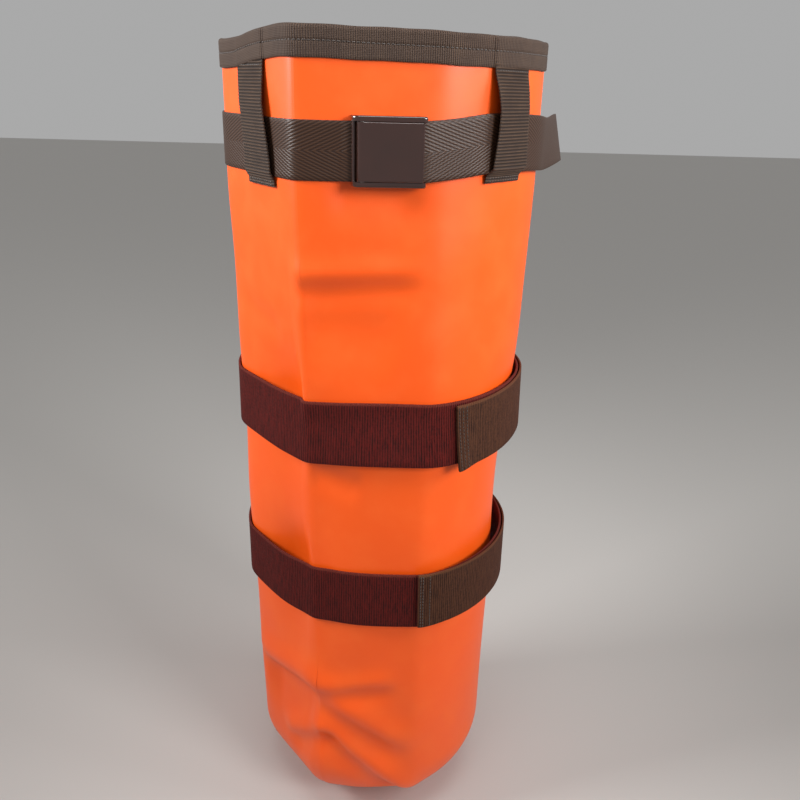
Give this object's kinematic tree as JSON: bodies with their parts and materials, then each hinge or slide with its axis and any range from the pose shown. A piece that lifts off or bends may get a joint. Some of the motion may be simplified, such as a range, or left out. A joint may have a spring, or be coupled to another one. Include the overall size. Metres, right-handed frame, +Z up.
{
  "type": "soft sleeve bag with cinch belt",
  "caption": "Tall open-topped sleeve bag of orange coated fabric with a bound rim, belt loops, a webbing belt with a flip-lever buckle, and elastic wrap straps with hook-and-loop tabs.",
  "frame": {"origin": "middle of the flat patch that the bag stands on, on the axis of the open rim", "axes": "+Z up along the sleeve, -Y towards the front with the buckle, +X to the right seen from the front"},
  "size_m": [0.2798, 0.2572, 0.71],
  "materials": {
    "coated_fabric": "semi-matt coated",
    "seam_tape": "smooth",
    "binding_webbing": "ribbed matt",
    "loop_webbing": "ribbed matt",
    "belt_twill": "twill",
    "thread": "matt",
    "buckle_black": "gloss",
    "pin_steel": "satin",
    "elastic_plush": "napped",
    "elastic_smooth": "napped",
    "hook_field": "matt"
  },
  "bodies": {
    "root": {"front_panel": "coated_fabric", "rear_panel": "coated_fabric", "inner_seam_tape": "seam_tape", "rim_binding": "binding_webbing", "rim_binding_stitches": "thread", "belt_loop_left": "loop_webbing", "belt_loop_right": "loop_webbing", "belt_loop_back": "loop_webbing", "belt_loop_bartacks": "thread", "belt_webbing": "belt_twill", "belt_tail": "belt_twill", "belt_end_stitches": "thread", "buckle_frame": "buckle_black", "buckle_hinge_pin": "pin_steel", "buckle_anchor_bar": "pin_steel", "mid_strap": "elastic_plush", "mid_strap_keeper": "coated_fabric", "lower_strap": "elastic_plush", "lower_strap_keeper": "coated_fabric"},
    "lever": {"buckle_lever": "buckle_black"},
    "mid_tab": {"mid_strap_tab": "elastic_smooth", "mid_hook_patch": "hook_field", "mid_tab_stitches": "thread"},
    "lower_tab": {"lower_strap_tab": "elastic_smooth", "lower_hook_patch": "hook_field", "lower_tab_stitches": "thread"}
  },
  "joints": [
    {"name": "lever_hinge", "type": "hinge", "parent": "root", "child": "lever", "pos_m": [-0.00981, -0.12809, 0.634], "axis": [0, 0, -1], "range_deg": [0, 100]},
    {"name": "mid_tab_peel", "type": "hinge", "parent": "root", "child": "mid_tab", "pos_m": [0.12675, -0.02081, 0.4225], "axis": [0, 0, 1], "range_deg": [0, 110]},
    {"name": "lower_tab_peel", "type": "hinge", "parent": "root", "child": "lower_tab", "pos_m": [0.12239, -0.02137, 0.267], "axis": [0, 0, 1], "range_deg": [0, 110]}
  ]
}
